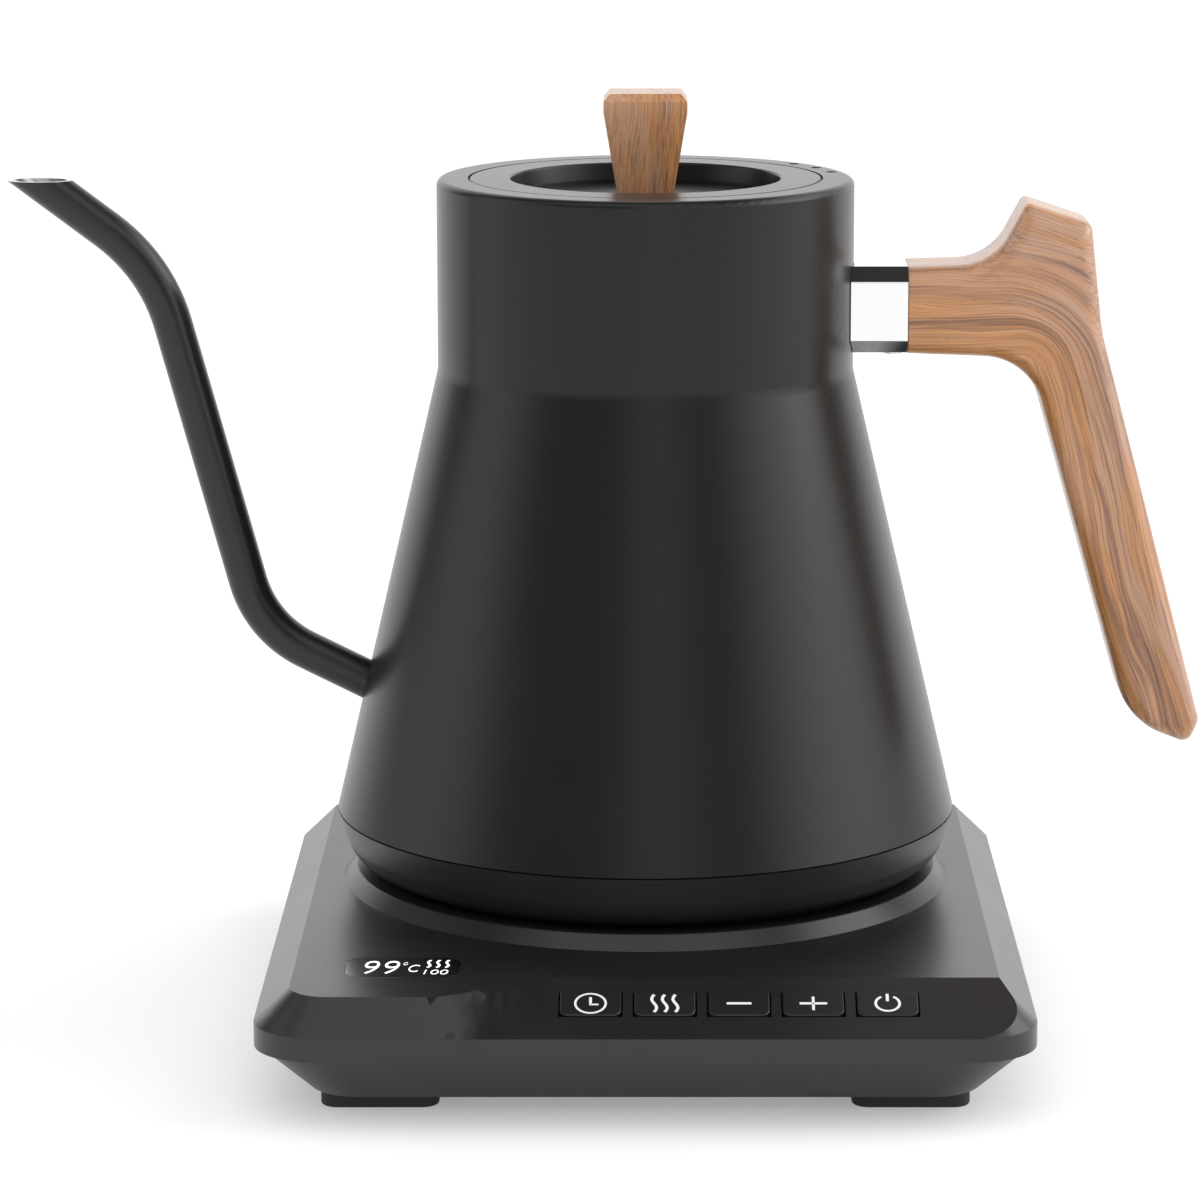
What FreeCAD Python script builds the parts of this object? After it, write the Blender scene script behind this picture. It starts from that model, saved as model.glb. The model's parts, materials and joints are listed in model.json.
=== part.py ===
"""Electric gooseneck kettle on a heated base with five keys.

Millimetres. The origin is where the kettle's axis meets the table, +Z is up, the spout
points to -X, the handle to +X and the key panel to -Y.
"""
import FreeCAD, Part
import math
import os
import re
import Sketcher

Vector = FreeCAD.Vector

DIMENSIONS = {
    # base
    "face_z": 29.5, "belt_top": 21, "belt_low": 15.5, "tray_low": 4.3, "base_wall": 2.2,
    "belt_half": 88.8, "belt_front": 116, "belt_back": 96.4, "belt_corner": 16, "belt_clip": 25,
    "bevel": 8.4, "face_front": 111.4, "face_clip": 20, "panel_top": 95.5,
    "plateau_z": 33, "plateau_radius": 71.05, "plateau_foot": 74, "dish_z": 32, "dish_radius": 65.8,
    "window_left": 68.6, "window_right": 42.6, "window_front": 95.4, "window_back": 79,
    "key_width": 13.8, "key_pitch": 16.75, "key_first": -12.4, "key_high": 5.6, "key_low": 13.9,
    "key_gap": 0.35, "fade_start": 21, "fade_end": 49,
    "key_thick": 1.5, "key_proud": 0.3, "board_drop": 6.6, "board_thick": 1.6,
    "switch_top": 3.4, "plunger_radius": 1.6,
    "boss_across": 66, "boss_front": 66, "boss_back": 60, "foot_across": 60.5, "foot_front": 93,
    "foot_back_across": 45, "foot_back": 73, "foot_wide": 27, "foot_deep": 14, "gland_z": 15.5, "gland_bore": 3.5,
    # round plug between kettle and base
    "pillar_radius": 14.5, "pillar_top": 43, "cup_bore": 15.1, "cup_radius": 20, "cup_low": 32.8,
    "cup_top": 47, "pin_radius": 2.5,
    # kettle
    "steel": 0.8, "rim_z": 200.8, "rim_round": 1.6, "neck_radius": 50, "crease_z": 154.9, "cone_radius": 75.2,
    "seam_z": 47.1, "seam_gap": 0.2, "mouth_radius": 42.5, "vent_circle": 46.2, "vent_radius": 1.3,
    "seat_bore": 40.5, "seat_z": 199.3, "floor_z": 52, "cover_wall": 1.8, "cover_low": 33.7,
    "cover_screw_circle": 46,
    "spout_radius": 4.7, "spout_bore": 4, "tip_z": 200.1,
    "ferrule_low": 159.4, "ferrule_high": 180.3, "ferrule_half": 11, "ferrule_end": 62.8,
    "ferrule_clip": 3.4, "ferrule_wall": 1.4, "bracket_low": 163, "bracket_high": 175.5,
    "bracket_wide": 11, "handle_screw_x": 59.6, "grip_half": 11.5, "grip_round": 4.4,
    # lid
    "lid_radius": 42.1, "dish_opening": 32.4, "dish_floor": 196, "pan_radius": 38.4, "knob_low": 196,
    "knob_band": 216.9, "knob_shoulder": 219.6, "knob_top": 221.4,
}

BOARD_POSTS = [("-44.0", "26.0"), ("44.0", "62.0")]
CLAMP_POSTS = [("-9.0", "78.0"), ("9.0", "78.0")]
PROBE = ("18.3", "-14.2")

doc = FreeCAD.newDocument("kettle")
sheet = doc.addObject("Spreadsheet::Sheet", "dims")
for row, (word, number) in enumerate(DIMENSIONS.items(), start=1):
    sheet.set("A%d" % row, word)
    sheet.set("B%d" % row, str(number))
    sheet.setAlias("B%d" % row, word)
doc.recompute()

pieces = {}


def bind(text):
    """An expression with every sheet word turned into its cell."""
    def cell(match):
        return "dims." + match.group(0) if match.group(0) in DIMENSIONS else match.group(0)
    return re.sub(r"[a-z_]+", cell, str(text))


def size(text):
    """The number an expression has now."""
    answer = sheet.evalExpression(bind(text))
    return float(getattr(answer, "Value", answer))


def put(thing, across="0", deep="0", up="0", turn=None):
    """Bind an object's place, and its turn about X where one is given."""
    if turn is not None:
        thing.Placement = FreeCAD.Placement(Vector(), FreeCAD.Rotation(Vector(1, 0, 0), size(turn)))
        thing.setExpression("Placement.Rotation.Angle", bind(turn))
    for axis, text in zip("xyz", (across, deep, up)):
        thing.setExpression("Placement.Base." + axis, bind(text))
    return thing


def named(label, thing):
    """Keep an object as the finished piece of that name."""
    thing.Label = label
    pieces[label] = thing
    return thing


def new_body(label):
    body = doc.addObject("PartDesign::Body", label + "_body")
    body.Label = label + "_body"
    return body


# ---------------------------------------------------------------- sketches

def fix(sketch, geometry, end, across, up):
    """Hold one point of a sketch at two sheet expressions."""
    for kind, text, axis in (("DistanceX", across, -2), ("DistanceY", up, -1)):
        number = size(text)
        if abs(number) < 1e-9:
            sketch.addConstraint(Sketcher.Constraint("PointOnObject", geometry, end, axis))
            continue
        index = sketch.addConstraint(Sketcher.Constraint(kind, -1, 1, geometry, end, number))
        sketch.setExpression("Constraints[%d]" % index, bind(text))


def draw_circle(sketch, across, up, radius):
    centre = Vector(size(across), size(up), 0)
    ring = sketch.addGeometry(Part.Circle(centre, Vector(0, 0, 1), size(radius)))
    fix(sketch, ring, 3, across, up)
    index = sketch.addConstraint(Sketcher.Constraint("Radius", ring, size(radius)))
    sketch.setExpression("Constraints[%d]" % index, bind(radius))


def draw_outline(sketch, corners):
    """A closed outline of straight runs. A corner is (across, up) or (across, up, round)."""
    count = len(corners)
    points = [Vector(size(c[0]), size(c[1]), 0) for c in corners]
    enter, leave, middle = [], [], []
    for i, point in enumerate(points):
        if len(corners[i]) < 3:
            enter.append(point)
            leave.append(point)
            middle.append(None)
            continue
        back = (points[i - 1] - point).normalize()
        ahead = (points[(i + 1) % count] - point).normalize()
        half = back.getAngle(ahead) / 2
        radius = size(corners[i][2])
        enter.append(point + back * (radius / math.tan(half)))
        leave.append(point + ahead * (radius / math.tan(half)))
        middle.append(point + (back + ahead).normalize() * (radius / math.sin(half) - radius))
    runs = []
    for i in range(count):
        runs.append(sketch.addGeometry(Part.LineSegment(leave[i], enter[(i + 1) % count])))
    for i, corner in enumerate(corners):
        before, after = runs[i - 1], runs[i]
        if middle[i] is None:
            sketch.addConstraint(Sketcher.Constraint("Coincident", before, 2, after, 1))
            fix(sketch, after, 1, corner[0], corner[1])
            continue
        arc = sketch.addGeometry(Part.Arc(enter[i], middle[i], leave[i]))
        near = 1 if sketch.getPoint(arc, 1).distanceToPoint(enter[i]) < 1e-6 else 2
        tip = sketch.addGeometry(Part.Point(points[i]), True)
        sketch.addConstraint(Sketcher.Constraint("Tangent", before, 2, arc, near))
        sketch.addConstraint(Sketcher.Constraint("Tangent", arc, 3 - near, after, 1))
        fix(sketch, tip, 1, corner[0], corner[1])
        sketch.addConstraint(Sketcher.Constraint("PointOnObject", tip, 1, before))
        sketch.addConstraint(Sketcher.Constraint("PointOnObject", tip, 1, after))
        index = sketch.addConstraint(Sketcher.Constraint("Radius", arc, size(corner[2])))
        sketch.setExpression("Constraints[%d]" % index, bind(corner[2]))


def sketch_on(body, plane, shapes, lift="0"):
    """A sketch on one of the body's own planes. A shape is an outline or a (x, y, radius) circle."""
    sketch = body.newObject("Sketcher::SketchObject", body.Label + "_sketch")
    home = [f for f in body.Origin.OriginFeatures if f.Role == plane][0]
    sketch.AttachmentSupport = [(home, "")]
    sketch.MapMode = "FlatFace"
    sketch.setExpression("AttachmentOffset.Base.z", bind(lift))
    for shape in shapes:
        if isinstance(shape, tuple):
            draw_circle(sketch, *shape)
        else:
            draw_outline(sketch, shape)
    return sketch


# ---------------------------------------------------------------- features

def pad(body, shapes, length, lift="0", plane="XY_Plane", both=False):
    feature = body.newObject("PartDesign::Pad", body.Label + "_pad")
    feature.Profile = sketch_on(body, plane, shapes, lift)
    feature.Midplane = both
    feature.setExpression("Length", bind(length))
    doc.recompute()
    return feature


def pocket(body, shapes, depth, lift="0", plane="XY_Plane", both=False, reverse=False):
    """Cut from the sketch plane against its normal, or along it when reversed."""
    before = body.Shape.Volume
    feature = body.newObject("PartDesign::Pocket", body.Label + "_pocket")
    feature.Profile = sketch_on(body, plane, shapes, lift)
    feature.Midplane = both
    feature.Reversed = reverse
    feature.setExpression("Length", bind(depth))
    doc.recompute()
    if body.Shape.Volume > before - 1e-3:
        raise RuntimeError("a pocket of %s cuts nothing" % body.Label)
    return feature


def turned(body, outline, plane="XZ_Plane"):
    """Revolve an outline, given as radius and height, round the upright axis of its sketch."""
    feature = body.newObject("PartDesign::Revolution", body.Label + "_turn")
    sketch = sketch_on(body, plane, [outline])
    feature.Profile = sketch
    feature.ReferenceAxis = (sketch, ["V_Axis"])
    feature.Angle = 360
    doc.recompute()
    return feature


def loft(body, sections, cut=False):
    """Join outlines at rising heights by straight sides."""
    kind = "PartDesign::SubtractiveLoft" if cut else "PartDesign::AdditiveLoft"
    before = body.Shape.Volume if cut else 0
    sketches = [sketch_on(body, "XY_Plane", [outline], lift) for outline, lift in sections]
    feature = body.newObject(kind, body.Label + "_loft")
    feature.Profile = sketches[0]
    feature.Sections = sketches[1:]
    feature.Ruled = True
    doc.recompute()
    if cut and body.Shape.Volume > before - 1e-3:
        raise RuntimeError("a loft of %s cuts nothing" % body.Label)
    return feature


def round_edges(body, radius, chosen, kind="PartDesign::Fillet"):
    """Round or chamfer the edges of the body's tip that the test picks."""
    base = body.Tip
    names = []
    for number, edge in enumerate(base.Shape.Edges, start=1):
        if chosen(edge):
            names.append("Edge%d" % number)
    feature = body.newObject(kind, body.Label + "_edges")
    feature.Base = (base, names)
    if kind.endswith("Fillet"):
        feature.setExpression("Radius", bind(radius))
    else:
        feature.setExpression("Size", bind(radius))
    doc.recompute()
    return feature


def upright(label, radius, height, across="0", deep="0", up="0"):
    thing = doc.addObject("Part::Cylinder", label)
    thing.setExpression("Radius", bind(radius))
    thing.setExpression("Height", bind(height))
    return put(thing, across, deep, up)


def box(label, wide, deep, high, across, back, up, turn=None):
    """A block whose lowest corner is at (across, back, up)."""
    thing = doc.addObject("Part::Box", label)
    for name, text in (("Length", wide), ("Width", deep), ("Height", high)):
        thing.setExpression(name, bind(text))
    return put(thing, across, back, up, turn)


def joined(label, things, kind="Part::MultiFuse"):
    thing = doc.addObject(kind, label)
    if kind == "Part::Compound":
        thing.Links = things
    else:
        thing.Shapes = things
    doc.recompute()
    return thing


def cut_from(label, base, tools):
    """The base with the tools taken away."""
    doc.recompute()
    thing = doc.addObject("Part::Cut", label + "_cut")
    thing.Base = base
    thing.Tool = tools[0] if len(tools) == 1 else joined(label + "_tools", tools, "Part::Compound")
    doc.recompute()
    if thing.Shape.Volume > base.Shape.Volume - 1e-3:
        raise RuntimeError("a cut of %s takes nothing" % label)
    return thing


def screws(label, places, head_radius, head_low, head_high, shank_radius, shank_high, shank_low=None):
    """Pan screws with a cross recess, pointing up from a head below, or down when shank_low is given."""
    made = []
    for number, (across, deep) in enumerate(places, start=1):
        name = "%s_%d" % (label, number)
        head = upright(name + "_head", head_radius, "(%s)-(%s)" % (head_high, head_low), across, deep,
                       head_low)
        if shank_low is None:
            shank = upright(name + "_shank", shank_radius, "(%s)-(%s)" % (shank_high, head_high),
                            across, deep, head_high)
            recess = head_low
        else:
            shank = upright(name + "_shank", shank_radius, "(%s)-(%s)" % (head_low, shank_low),
                            across, deep, shank_low)
            recess = "(%s)-0.8" % head_high
        whole = joined(name + "_whole", [head, shank])
        slots = []
        for wide, long in (("2.4", "0.7"), ("0.7", "2.4")):
            slots.append(box(name + "_slot", wide, long, "0.8", "(%s)-%s/2" % (across, wide),
                             "(%s)-%s/2" % (deep, long), recess))
        made.append(cut_from(name, whole, slots))
    return named(label, joined(label, made, "Part::Compound"))


# ---------------------------------------------------------------- outlines of the base

def base_outline(half, front, back, corner, clip, rear_round):
    """Plan of the base: rounded front corners and clipped rear corners."""
    side = "(%s)-(%s)" % (back, clip)
    near = "(%s)-(%s)" % (half, clip)
    return [
        ("-(%s)" % half, "-(%s)" % front, corner),
        (half, "-(%s)" % front, corner),
        (half, side, rear_round),
        (near, back, rear_round),
        ("-(%s)" % near, back, rear_round),
        ("-(%s)" % half, side, rear_round),
    ]


def rectangle(left, right, front, back, corner=None):
    corners = [(left, front), (right, front), (right, back), (left, back)]
    if corner is None:
        return corners
    return [(x, y, corner) for x, y in corners]


BOSSES = [("boss_across", "-boss_front"), ("-boss_across", "-boss_front"),
          ("boss_across", "boss_back"), ("-boss_across", "boss_back")]
KEY_NAMES = ("key_timer", "key_heat", "key_minus", "key_plus", "key_power")
KEY_MIDDLES = ["key_first + %d*key_pitch" % number for number in range(len(KEY_NAMES))]
SLOPE = "atan((face_z-belt_top)/(belt_front-panel_top))"


def on_panel(thing):
    """Place an object in the key panel's frame: its y runs up the slope from the panel's top edge."""
    return put(thing, "0", "-panel_top", "face_z", SLOPE)


# ---------------------------------------------------------------- base

def panel_cutter():
    """Clears the sloped key panel, fading into the steep front on the window's side."""
    front, face, low = -size("belt_front"), size("face_z"), size("belt_top")
    top, steep = -size("panel_top"), -size("face_front")
    right = size("belt_half") + 1
    reach = 6.0
    overlap = reach / 3
    rise = (face - low) / (top - front)
    steps = 8
    left_start, left_end = -size("fade_start"), -size("fade_end")
    wires = []
    for number in range(steps + 1):
        share = number / steps
        blend = share * share * (3 - 2 * share)
        edge = steep + (top - steep) * blend
        slope = (face - low) / (edge - front)
        across = left_end + (left_start - left_end) * share
        wires.append((across, edge, slope))
    wires.append((right, top, rise))
    sections = []
    for across, edge, slope in wires:
        points = [Vector(across, edge + overlap, face + slope * overlap),
                  Vector(across, front - reach, low - slope * reach),
                  Vector(across, front - reach, face + reach)]
        sections.append(Part.makePolygon(points + points[:1]))
    shape = Part.makeLoft(sections, True, True)
    tool = doc.addObject("Part::Feature", "panel_cutter")
    tool.Shape = shape
    return tool


def make_base_cover():
    body = new_body("base_top_cover")
    belt = base_outline("belt_half", "belt_front", "belt_back", "belt_corner", "belt_clip", "7")
    face = base_outline("belt_half-bevel", "face_front", "belt_back-bevel", "9", "face_clip", "5")
    pad(body, [belt], "belt_top-belt_low", "belt_low")
    loft(body, [(belt, "belt_top"), (face, "face_z")])
    turned(body, [("0", "face_z-1.5"), ("plateau_foot", "face_z-1.5"), ("plateau_foot", "face_z"),
                  ("plateau_radius", "plateau_z", "0.7"), ("dish_radius+1", "plateau_z"),
                  ("dish_radius", "dish_z"), ("0", "dish_z")])
    doc.recompute()
    shell = cut_from("base_top_cover_panel", body, [panel_cutter()])
    hollow = new_body("base_hollow")
    low = base_outline("belt_half-base_wall", "belt_front-3.3", "belt_back-base_wall", "belt_corner-2",
                       "belt_clip-1", "6")
    high = base_outline("belt_half-bevel-0.9", "panel_top-0.4", "belt_back-bevel-0.9", "8",
                        "face_clip+1", "4")
    pad(hollow, [low], "belt_top-belt_low-1", "belt_low")
    loft(hollow, [(low, "belt_top-1"), (high, "face_z-base_wall")])
    pad(hollow, [("0", "0", "dish_radius-1")], "dish_z-face_z", "face_z-base_wall")
    bosses = [upright("cover_boss", "4", "face_z-base_wall-9", x, y, "9.0") for x, y in BOSSES]
    inside = cut_from("base_inside", hollow, bosses)
    tools = [inside]
    tools += [upright("boss_hole", "1.3", "13", x, y, "8.9") for x, y in BOSSES]
    tools.append(upright("socket_hole", "pillar_radius+0.7", "8", "0", "0", "face_z-5"))
    window = new_body("window_opening")
    pad(window, [window_outline("0.1")], "face_z-20", "21.0")
    tools.append(window)
    gland = doc.addObject("Part::Cylinder", "gland_hole")
    gland.setExpression("Radius", bind("gland_bore+1"))
    gland.Height = 20
    put(gland, "0", "belt_back+5", "gland_z", "90")
    tools.append(gland)
    for middle in KEY_MIDDLES:
        tool = doc.addObject("Part::Box", "key_opening")
        tool.setExpression("Length", bind("key_width+2*key_gap"))
        tool.setExpression("Width", bind("key_low-key_high+key_gap+0.15"))
        tool.Height = 6
        left = "%s-key_width/2-key_gap" % middle
        reach = "(key_low+key_gap)"
        put(tool, left, "-panel_top-%s*cos(%s)+5*sin(%s)" % (reach, SLOPE, SLOPE),
            "face_z-%s*sin(%s)-5*cos(%s)" % (reach, SLOPE, SLOPE), SLOPE)
        tools.append(tool)
    named("base_top_cover", cut_from("base_top_cover", shell, tools))


def window_outline(spare):
    return rectangle("-window_left-" + spare, "-window_right+" + spare, "-window_front-" + spare,
                     "-window_back+" + spare, "4.5")


def make_tray():
    body = new_body("base_bottom_tray")
    top = base_outline("belt_half-1.4", "belt_front-1.4", "belt_back-1.4", "belt_corner-1",
                       "belt_clip-1", "6")
    low = base_outline("belt_half-12.3", "belt_front-10.5", "belt_back-11.5", "12", "face_clip", "5")
    loft(body, [(low, "tray_low"), (top, "belt_low")])
    inner_top = base_outline("belt_half-4.2", "belt_front-4.2", "belt_back-4.2", "belt_corner-3",
                             "belt_clip-2", "5")
    inner_low = base_outline("belt_half-13.6", "belt_front-12", "belt_back-13", "10", "face_clip", "4")
    loft(body, [(inner_low, "tray_low+2"), (inner_top, "belt_low")], cut=True)
    pad(body, [(x, y, "4.5") for x, y in BOSSES], "9.0-tray_low-1", "tray_low+1")
    pocket(body, [(x, y, "1.7") for x, y in BOSSES], "9", "9.5")
    pocket(body, [(x, y, "3.2") for x, y in BOSSES], "2.5", "tray_low", reverse=True)
    pad(body, [(x, y, "3") for x, y in BOARD_POSTS], "1.7+1", "tray_low+1")
    pad(body, [(x, y, "3") for x, y in CLAMP_POSTS], "12.0-tray_low-1", "tray_low+1")
    pocket(body, [(x, y, "1.5") for x, y in BOARD_POSTS], "1.5", "8.0")
    pocket(body, [(x, y, "1.5") for x, y in CLAMP_POSTS], "5", "12.0")
    notch = doc.addObject("Part::Cylinder", "gland_notch")
    notch.setExpression("Radius", bind("gland_bore+1.7"))
    notch.Height = 14
    put(notch, "0", "belt_back+1", "gland_z", "90")
    named("base_bottom_tray", cut_from("base_bottom_tray", body, [notch]))


def make_feet():
    body = new_body("base_feet")
    outlines = []
    for side, middle in (("foot_across", "-foot_front"), ("-foot_across", "-foot_front"),
                         ("foot_back_across", "foot_back"), ("-foot_back_across", "foot_back")):
        outlines.append(rectangle("%s-foot_wide/2" % side, "%s+foot_wide/2" % side,
                                  "%s-foot_deep/2" % middle, "%s+foot_deep/2" % middle, "4"))
    pad(body, outlines, "tray_low")
    named("base_feet", body)


def make_plug_halves():
    socket = new_body("base_socket")
    turned(socket, [("0", "face_z-2.5"), ("22", "face_z-2.5"), ("22", "face_z+0.3"),
                    ("pillar_radius", "face_z+0.3"), ("pillar_radius", "pillar_top", "1.2"),
                    ("11.2", "pillar_top"), ("11.2", "dish_z+1"), ("8.8", "dish_z+1"),
                    ("8.8", "pillar_top"), ("3.2", "pillar_top"), ("3.2", "face_z+1"), ("0", "face_z+1")])
    named("base_socket", socket)
    cup = new_body("coupler_housing")
    turned(cup, [("0", "pillar_top+0.6"), ("cup_bore", "pillar_top+0.6"), ("cup_bore", "cup_low"),
                 ("cup_radius", "cup_low"), ("cup_radius", "cup_top", "1"), ("0", "cup_top")])
    named("coupler_housing", cup)
    for label, rings in (
            ("socket_contacts", (("2.85", "3.15", "30.6", "40.0"), ("8.85", "9.25", "33.1", "41.0"))),
            ("coupler_contacts", (("0", "pin_radius", "34.0", "pillar_top+0.6"),
                                  ("9.7", "10.3", "36.0", "pillar_top+0.6")))):
        solids = []
        for number, (inner, outer, low, high) in enumerate(rings):
            ring = new_body("%s_%d" % (label, number))
            turned(ring, [(inner, low), (outer, low), (outer, high), (inner, high)])
            solids.append(ring)
        named(label, joined(label, solids, "Part::Compound"))


def make_display():
    window = new_body("display_window")
    pad(window, [window_outline("0")], "1.4", "face_z-1.4")
    named("display_window", window)
    named("display_module", box("display_module", "window_left-window_right-3",
                                "window_front-window_back-3.4", "5.5", "-window_left+1.5",
                                "-window_front+1.7", "face_z-7"))


def make_keys():
    for label, middle in zip(KEY_NAMES, KEY_MIDDLES):
        body = new_body(label)
        left, right = "%s-key_width/2" % middle, "%s+key_width/2" % middle
        outline = [(left, "-key_low", "2"), (right, "-key_low", "2"), (right, "-key_high"),
                   (left, "-key_high")]
        pad(body, [outline], "key_thick+key_proud", "-key_thick")
        named(label, on_panel(body))
        plunger = new_body(label + "_plunger")
        pad(plunger, [(middle, "-(key_high+key_low)/2", "plunger_radius")],
            "switch_top+0.7-key_thick", "-switch_top-0.7")
        named(label + "_plunger", on_panel(plunger))
    board = new_body("control_board")
    pad(board, [rectangle("key_first-13", "key_first+4*key_pitch+11", "-16.0", "-1.0", "1.5")],
        "board_thick", "-board_drop-board_thick")
    named("control_board", on_panel(board))
    cans = new_body("key_switches")
    half = "3.0"
    squares = []
    wells = []
    for middle in KEY_MIDDLES:
        squares.append(rectangle("%s-%s" % (middle, half), "%s+%s" % (middle, half),
                                 "-(key_high+key_low)/2-" + half, "-(key_high+key_low)/2+" + half))
        wells.append((middle, "-(key_high+key_low)/2", "plunger_radius+0.5"))
    pad(cans, squares, "board_drop-switch_top", "-board_drop")
    pocket(cans, wells, "1.3", "-switch_top")
    named("key_switches", on_panel(cans))


def make_electrics():
    board = new_body("power_board")
    pad(board, [rectangle("-50.0", "50.0", "21.0", "68.0", "2")], "1.6", "8.0")
    pocket(board, [(x, y, "1.6") for x, y in BOARD_POSTS], "3", "10.0")
    named("power_board", board)
    named("relay", box("relay", "19", "15", "15", "-30", "38", "9.6"))
    named("filter_capacitor", box("filter_capacitor", "18", "8", "14", "2", "44", "9.6"))
    named("buzzer", upright("buzzer", "6", "6", "34", "36", "9.6"))
    screws("board_screws", BOARD_POSTS, "2.6", "9.6", "11.2", "1.4", None, "6.8")
    clamp = new_body("cord_clamp")
    pad(clamp, [rectangle("-13.0", "13.0", "74.0", "82.0", "2")], "3.5", "12.0")
    pocket(clamp, [(x, y, "1.6") for x, y in CLAMP_POSTS], "5", "16.0")
    channel = doc.addObject("Part::Cylinder", "cord_channel")
    channel.setExpression("Radius", bind("gland_bore"))
    channel.Height = 14
    put(channel, "0", "85", "11", "90")
    named("cord_clamp", cut_from("cord_clamp", clamp, [channel]))
    screws("cord_clamp_screws", CLAMP_POSTS, "2.6", "15.5", "17.1", "1.4", None, "7.5")
    screws("base_screws", BOSSES, "2.9", "tray_low+0.5", "tray_low+2.5", "1.25", "19.0")
    gland = new_body("cord_gland")
    turned(gland, [("gland_bore", "belt_back-5"), ("5.0", "belt_back-5"), ("5.0", "belt_back-2.8"),
                   ("gland_bore+0.9", "belt_back-2.8"), ("gland_bore+0.9", "belt_back+0.1"),
                   ("5.4", "belt_back+0.1"), ("5.1", "belt_back+2", "0.6"), ("gland_bore", "belt_back+2")],
           "XY_Plane")
    named("cord_gland", put(gland, "0", "0", "gland_z"))


# ---------------------------------------------------------------- kettle body

def spout_route():
    """The spout's bent line, from inside the cone to above the tip."""
    start = Vector(-60, 0, 73.9)
    low_bend = Vector(-93.5, 0, 90.6)
    high_bend = Vector(-117.5, 0, 179.3)
    lean = math.radians(53)
    reach = 44.0
    end = high_bend + Vector(-math.sin(lean), 0, math.cos(lean)) * reach
    return start, low_bend, high_bend, end


def spout_wire():
    start, low_bend, high_bend, end = spout_route()
    points = [start, low_bend, high_bend, end]
    edges = []
    here = start
    for number, radius in ((1, 27.0), (2, 42.0)):
        corner = points[number]
        back = (points[number - 1] - corner).normalize()
        ahead = (points[number + 1] - corner).normalize()
        half = back.getAngle(ahead) / 2
        enter = corner + back * (radius / math.tan(half))
        leave = corner + ahead * (radius / math.tan(half))
        middle = corner + (back + ahead).normalize() * (radius / math.sin(half) - radius)
        edges.append(Part.LineSegment(here, enter).toShape())
        edges.append(Part.Arc(enter, middle, leave).toShape())
        here = leave
    edges.append(Part.LineSegment(here, end).toShape())
    return Part.Wire(edges)


def swept(radius):
    start, low_bend = spout_route()[:2]
    ring = Part.Wire(Part.Circle(start, low_bend - start, radius).toShape())
    return spout_wire().makePipeShell([ring], True, False)


def make_spout_and_shell():
    body = new_body("body_shell")
    inner_crease = "crease_z-0.1"
    turned(body, [
        ("cone_radius", "seam_z+seam_gap"), ("neck_radius", "crease_z", "9"),
        ("neck_radius", "rim_z", "rim_round"), ("mouth_radius", "rim_z"), ("mouth_radius", "rim_z-steel"),
        ("neck_radius-steel", "rim_z-steel", "rim_round-steel"), ("neck_radius-steel", inner_crease, "9.8"),
        ("cone_radius-1.03*steel", "seam_z+seam_gap")])
    vents = []
    for angle in (14, 26, 38):
        vents.append(("vent_circle*cos(%d)" % angle, "vent_circle*sin(%d)" % angle, "vent_radius"))
    pocket(body, vents, "steel+1", "rim_z+0.5")
    start, low_bend = spout_route()[:2]
    port = doc.addObject("Part::Feature", "spout_port")
    port.Shape = Part.makeCylinder(size("spout_bore"), 26, start + Vector(6, 0, -3), low_bend - start)
    named("body_shell", cut_from("body_shell", body, [port]))
    cone = doc.addObject("Part::Cone", "cone_solid")
    cone.setExpression("Radius1", bind("cone_radius"))
    cone.setExpression("Radius2", bind("neck_radius"))
    cone.setExpression("Height", bind("crease_z-seam_z-seam_gap"))
    put(cone, "0", "0", "seam_z+seam_gap")
    doc.recompute()
    above = Part.makeBox(80, 40, 60, Vector(-180, -20, size("tip_z")))
    tube = swept(size("spout_radius")).cut(swept(size("spout_bore")))
    tube = tube.cut(cone.Shape).cut(above)
    spout = doc.addObject("Part::Feature", "spout")
    spout.Shape = max(tube.Solids, key=lambda solid: solid.Volume)
    named("spout", spout)


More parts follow.
